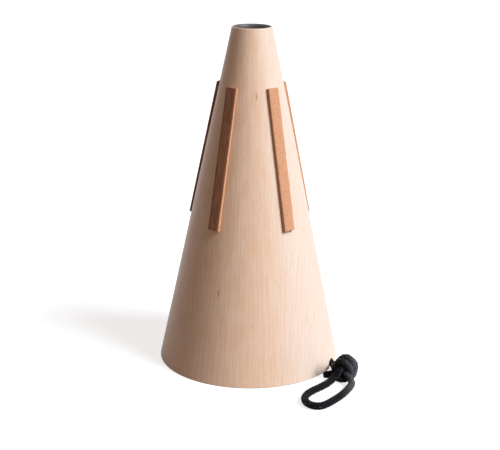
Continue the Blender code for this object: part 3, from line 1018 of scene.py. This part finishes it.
    def tension(self, pull: float, give: float) -> None:
        """Shortens the strands while they have room, and lets them out where they press too hard.

        Args:
            pull: Factor on the length for a shortening step.
            give: Factor on the length for a step that lets cord out.
        """
        nearest = self.closest()
        if nearest > self.slack * self.thickness:
            self.step *= pull
        elif nearest < (self.slack - self.firmness) * self.thickness:
            self.step *= give


@dataclass
class LoopKnot:
    """A doubled overhand knot, tied loose from a trefoil's curve, pulled tight and set down on the table.

    All sizes are in millimetres. Its own x runs with the cord through the knot.
    """

    place: np.ndarray
    pressed_thickness: float = 4.2
    least_bend: float = 2.4
    trefoil_size: float = 8.0
    trefoil_points: int = 61
    # The curve runs through every third of them.
    trefoil_kept: int = 3
    trefoil_gap: float = 0.5
    trefoil_height: float = 0.9
    run_far: float = 8.0
    run_near: float = 2.2
    run_level: float = -0.25
    run_points: int = 8
    twin_offset: float = 2.875
    twinned_points: int = 600
    loose_points: int = 130
    pulls: int = 700
    drawn_in_by: int = 350
    drawn_in_to: float = 0.45
    crowded_within: float = 9.0
    crowded_percentile: float = 60.0
    knot_reach: float = 13.0
    seated_points: int = 84
    seating_turns: int = 110
    seated_by: float = 0.6
    way_through: float = math.radians(-73)
    roll: float = math.radians(300)

    def loose(self) -> np.ndarray:
        """Ties the loose knot.

        Returns:
            The points of both strands, one strand after the other.
        """
        t = np.linspace(math.pi + self.trefoil_gap, 3 * math.pi - self.trefoil_gap, self.trefoil_points)
        x = np.sin(t) + 2 * np.sin(2 * t)
        y = np.cos(t) - 2 * np.cos(2 * t) + 3
        core = np.stack([x, y, -self.trefoil_height * np.sin(3 * t)], axis=1)
        run = np.linspace(self.run_far, self.run_near, self.run_points)
        level = np.full(self.run_points, self.run_level)
        entry = np.stack([core[0, 0] - run, level, np.full(self.run_points, core[0, 2])], axis=1)
        leave = np.stack([core[-1, 0] + run[::-1], level, np.full(self.run_points, core[-1, 2])], axis=1)
        curve = catmull_rom(np.vstack([entry, core[:: self.trefoil_kept], leave]))
        line = respaced(curve, self.twinned_points) * self.trefoil_size
        ahead = unit(np.gradient(line, axis=0))
        side = unit(np.stack([-ahead[:, 1], ahead[:, 0], np.zeros(len(line))], axis=1)) * self.twin_offset
        return np.vstack([respaced(line + side, self.loose_points), respaced(line - side, self.loose_points)])

    def tight(self) -> list[np.ndarray]:
        """Pulls the loose knot tight by its four ends.

        Returns:
            The knotted stretch of each strand, about the knot's middle.
        """
        pair = StrandPair(self.loose(), self.pressed_thickness, self.least_bend)
        ends = pair.run_outs(2)
        for turn in range(self.pulls):
            reach = max(self.drawn_in_to, 1.0 - turn / self.drawn_in_by * (1 - self.drawn_in_to))
            pair.pin([[(point * (reach, 1.0, 1.0), way) for point, way in two] for two in ends])
            pair.tension(pull=0.994, give=1.001)
            pair.relax(rounds=4, floor=None)
        spread = np.linalg.norm(pair.points[:, None] - pair.points[None], axis=2)
        crowd = (spread < self.crowded_within).sum(axis=1)
        middle = pair.points[crowd > np.percentile(crowd, self.crowded_percentile)].mean(axis=0)
        knotted = []
        for strand in pair.strands():
            inside = np.flatnonzero(np.linalg.norm(strand - middle, axis=1) < self.knot_reach)
            knotted.append(strand[inside[0] : inside[-1] + 1] - middle)
        return knotted

    def seated(self, ends: list[list[RunOut]], floor: float) -> list[np.ndarray]:
        """Turns the tight knot, sets it down and joins it to the strands that come in.

        Args:
            ends: Where each strand's two ends go.
            floor: The least height of a centre line.

        Returns:
            The centre line of each strand through the knot.
        """
        ahead = np.array([math.cos(self.way_through), math.sin(self.way_through), 0.0])
        side = np.cross(ahead, (0.0, 0.0, 1.0))
        up = np.array([0.0, 0.0, math.cos(self.roll)]) + side * math.sin(self.roll)
        axes = np.stack([ahead, up, -np.cross(ahead, up)])
        first, second = (respaced(strand @ axes + self.place, self.seated_points) for strand in self.tight())
        pair = StrandPair(np.vstack([second, first]), self.pressed_thickness, self.least_bend)
        begin = pair.run_outs(3)
        for turn in range(self.seating_turns):
            share = min(1.0, turn / (self.seated_by * self.seating_turns))
            share = share**2 * (3 - 2 * share)
            now = [
                [
                    (p0 * (1 - share) + p1 * share, unit(w0 * (1 - share) + w1 * share))
                    for (p0, w0), (p1, w1) in zip(start, goal)
                ]
                for start, goal in zip(begin, ends)
            ]
            pair.pin(now)
            pair.tension(pull=0.996, give=1.003)
            pair.relax(rounds=5, floor=floor)
        return [strand[pair.pinned : -pair.pinned] for strand in pair.strands()]


@dataclass
class WristCord:
    """The braided cord: out under the foot, through its knot, round the loop, back through and cut off.

    The routes are the CAD's own points, in millimetres from where the cord crosses the foot.
    """

    cone: ConeSizes
    diameter: float = 5.0
    above_table: float = 0.1
    gate_azimuth: float = math.radians(-22.5)
    hole_to_knot: Route = (
        (-11.20, 25.68, 10.60), (-11.16, 25.58, 8.60), (-10.83, 24.82, 5.40), (-9.92, 22.74, 2.45),
        (-8.72, 20.00, 0.65), (-7.20, 16.50, 0.05), (-4.80, 11.00, 0.00), (-2.80, 6.42, 0.00),
        (-1.20, 2.75, 0.00), (0.00, 0.00, 0.00), (1.15, -3.00, 0.10), (1.50, -6.60, 0.60),
        (1.10, -10.60, 1.70), (0.60, -14.60, 3.00),
    )
    loop: Route = (
        (-0.60, -28.80, 1.00), (-3.40, -32.80, 0.10), (-6.80, -37.10, 0.00), (-12.00, -43.00, 0.00),
        (-17.20, -48.80, 0.00), (-20.80, -55.60, 0.00), (-21.20, -62.80, 0.00), (-17.90, -68.90, 0.00),
        (-12.40, -70.60, 0.00), (-7.30, -67.20, 0.00), (-1.80, -60.50, 0.00), (4.30, -51.60, 0.00),
        (8.90, -42.20, 0.00), (11.60, -35.60, 0.20), (12.20, -32.40, 0.90),
    )
    cut_end: Route = ((-1.60, -20.30, 0.80), (-4.30, -20.60, 0.20), (-7.00, -20.90, 0.00))
    knot_place: Triple = (7.33, -24.50, 10.10)
    # How many points from its end the way that a strand comes in is read.
    way_over: int = 5
    ease_inside: float = 2.6
    ease_outside: float = 9.0
    ease_passes: int = 60
    smooth_passes: int = 10
    finish: BraidedPolyester = field(default_factory=BraidedPolyester)
    braid: Braid = field(default_factory=Braid)

    @property
    def rest_height(self) -> float:
        """Height of the centre line where the cord lies on the table."""
        return self.diameter / 2 + self.above_table

    def gate(self) -> np.ndarray:
        """Where the centre line crosses the foot."""
        radius = self.cone.base_diameter / 2 / MM
        x, y = radius * math.cos(self.gate_azimuth), radius * math.sin(self.gate_azimuth)
        return np.array([x, y, self.rest_height])

    def placed(self, route: Route) -> np.ndarray:
        """Reads a route's smooth curve in the mute's frame."""
        return catmull_rom(np.array(route)) + self.gate()

    def centre_line(self) -> tuple[np.ndarray, np.ndarray]:
        """Runs the whole cord.

        Returns:
            The points of its centre line in millimetres, and how hard each one is pressed, 0 to 1.
        """
        lead, loop, cut = (self.placed(route) for route in (self.hole_to_knot, self.loop, self.cut_end))
        knot = LoopKnot(np.array(self.knot_place) + self.gate() * (1, 1, 0))
        n = self.way_over
        ends = [
            [(lead[-1], unit(lead[-1 - n] - lead[-1])), (loop[0], unit(loop[n] - loop[0]))],
            [(cut[0], unit(cut[n] - cut[0])), (loop[-1], unit(loop[-1 - n] - loop[-1]))],
        ]
        out, back = knot.seated(ends, self.rest_height)
        stretches = (lead, out, loop, back[::-1], cut)
        pressed = np.concatenate([np.full(len(part), float(i in (1, 3))) for i, part in enumerate(stretches)])
        line = np.vstack(stretches)
        along = distances(line)
        count = round(along[-1] / self.braid.step)
        wanted = np.linspace(0.0, along[-1], count)
        soft = np.interp(wanted, along, pressed)
        line = respaced(line, count)
        joins = along[np.cumsum([len(part) for part in stretches])[:-1]]
        self.ease(line, soft, np.abs(wanted[:, None] - joins).min(axis=1))
        for _ in range(self.smooth_passes):
            line[1:-1] = (line[:-2] + 2 * line[1:-1] + line[2:]) / 4
            soft[1:-1] = (soft[:-2] + 2 * soft[1:-1] + soft[2:]) / 4
        return respaced(line, count), soft

    def ease(self, line: np.ndarray, pressed: np.ndarray, from_join: np.ndarray) -> None:
        """Rounds the bends where the cord goes into its knot, mostly on the free side.

        Args:
            line: Points of the centre line, which are moved.
            pressed: How hard each point is pressed: over a half is inside the knot.
            from_join: Each point's distance to the nearest end of the knot.
        """
        reach = np.where(pressed > 0.5, self.ease_inside, self.ease_outside)
        weight = np.exp(-((from_join / reach) ** 2))[1:-1, None] / 2
        for _ in range(self.ease_passes):
            line[1:-1] += ((line[:-2] + line[2:]) / 2 - line[1:-1]) * weight

    def build(self) -> Object:
        """Returns:
            The cord, in place.
        """
        line, pressed = self.centre_line()
        cord = self.braid.plait("wrist_cord", line, pressed, self.finish.make())
        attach(cord, "root")
        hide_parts("cord_lead", "cord_loop", "cord_cut_end", "loop_knot")
        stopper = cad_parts["stopper_knot"]
        stopper.data.materials.clear()
        stopper.data.materials.append(cord.data.materials[0])
        return cord


@dataclass
class Studio:
    """Camera, soft lights, white floor and backdrop."""

    camera_place: Triple = (0.0, -0.8108, 0.3389)
    lens: float = 86.85
    sensor_width: float = 36.0
    nearest_seen: float = 10.0 * MM
    pitch_down: float = math.radians(16.66)
    roll: float = math.radians(0.65)
    key_azimuth: float = math.radians(-28)
    key_height: float = math.radians(40)
    key_spread: float = math.radians(30)
    key_distance: float = 1.5
    key_level: float = 1.58
    key_tint: str = "F1F7FF"
    room_level: float = 0.178
    room_tint: str = "FFE2D2"
    floor_size: float = 8.0
    floor_white: str = "B3B3B3"
    floor_bounce: str = "8E7D72"
    floor_lift: float = 0.76

    def place_camera(self) -> None:
        """Stands the camera where the photograph was taken from."""
        data = bpy.data.cameras.new("camera")
        data.lens = self.lens
        data.sensor_width = self.sensor_width
        data.clip_start = self.nearest_seen
        camera = bpy.data.objects.new("camera", data)
        tilt = Matrix.Rotation(math.radians(90) - self.pitch_down, 4, "X")
        turn = tilt @ Matrix.Rotation(self.roll, 4, "Z")
        camera.matrix_world = Matrix.Translation(self.camera_place) @ turn
        bpy.context.scene.collection.objects.link(camera)
        bpy.context.scene.camera = camera

    def hang_lights(self) -> None:
        """Hangs the broad soft light at the right, so far off that it lights the whole floor evenly."""
        data = bpy.data.lights.new("key_softbox", "SUN")
        data.angle = self.key_spread
        data.energy = math.pi * self.key_level
        data.color = linear(self.key_tint)[:3]
        key = bpy.data.objects.new("key_softbox", data)
        flat = math.cos(self.key_height)
        across, back = math.cos(self.key_azimuth) * flat, math.sin(self.key_azimuth) * flat
        way = Vector((across, back, math.sin(self.key_height)))
        key.location = way * self.key_distance
        key.rotation_euler = way.to_track_quat("Z", "Y").to_euler()
        bpy.context.scene.collection.objects.link(key)

    def seen_directly(self, tree: NodeTree) -> NodeSocket:
        """A factor that is 1 for camera, glossy and transmission rays, and 0 for diffuse light."""
        direct = shade(tree, "LightPath", {}, "Is Camera Ray")
        for name in ("Is Glossy Ray", "Is Transmission Ray"):
            ray = shade(tree, "LightPath", {}, name)
            direct = shade(tree, "Math", {0: direct, 1: ray}, operation="MAXIMUM")
        return direct

    def paint_backdrop(self) -> None:
        """Makes the room white to the eye, but dim as a light."""
        world = bpy.data.worlds.new("white_backdrop")
        bpy.context.scene.world = world
        world.use_nodes = True
        tree = world.node_tree
        direct = self.seen_directly(tree)
        strength = shade(tree, "MapRange", {"Value": direct, "To Min": self.room_level, "To Max": 1.0})
        walls = {FACTOR: direct, FIRST: self.room_tint, SECOND: "FFFFFF"}
        tint = shade(tree, "Mix", walls, MIXED, data_type="RGBA")
        feed(tree, tree.nodes["Background"], {"Color": tint, "Strength": strength})

    def lay_floor(self) -> None:
        """Lays a white floor that keeps the mute's soft shadow."""
        material, tree, shader = start_material("painted_white_floor")
        direct = self.seen_directly(tree)
        paint = {FACTOR: direct, FIRST: self.floor_bounce, SECOND: self.floor_white}
        albedo = shade(tree, "Mix", paint, MIXED, data_type="RGBA")
        lift = shade(tree, "Math", {0: direct, 1: self.floor_lift}, operation="MULTIPLY")
        matt = {"Roughness": 0.9, "Specular IOR Level": 0.0}
        glow = {"Emission Color": "FFFFFF", "Emission Strength": lift}
        feed(tree, shader, {"Base Color": albedo, **matt, **glow})
        bm = bmesh.new()
        bmesh.ops.create_grid(bm, x_segments=1, y_segments=1, size=self.floor_size / 2)
        mesh = bpy.data.meshes.new("floor")
        bm.to_mesh(mesh)
        bm.free()
        mesh.materials.append(material)
        floor = bpy.data.objects.new("floor", mesh)
        bpy.context.scene.collection.objects.link(floor)

    def set_view(self) -> None:
        """Shows colours plainly."""
        bpy.context.scene.view_settings.view_transform = "Standard"


def main() -> None:
    """Builds the studio, the cord and every dressed piece of the mute."""
    logging.basicConfig(level=logging.INFO, format="%(name)s %(message)s")
    studio = Studio()
    studio.set_view()
    studio.place_camera()
    cone = ConeSizes()
    WristCord(cone).build()
    TurnedBody().dress()
    ThroatTube().build()
    CorkStrips(cone).build()
    studio.hang_lights()
    studio.paint_backdrop()
    studio.lay_floor()


if __name__ == "__main__":
    main()
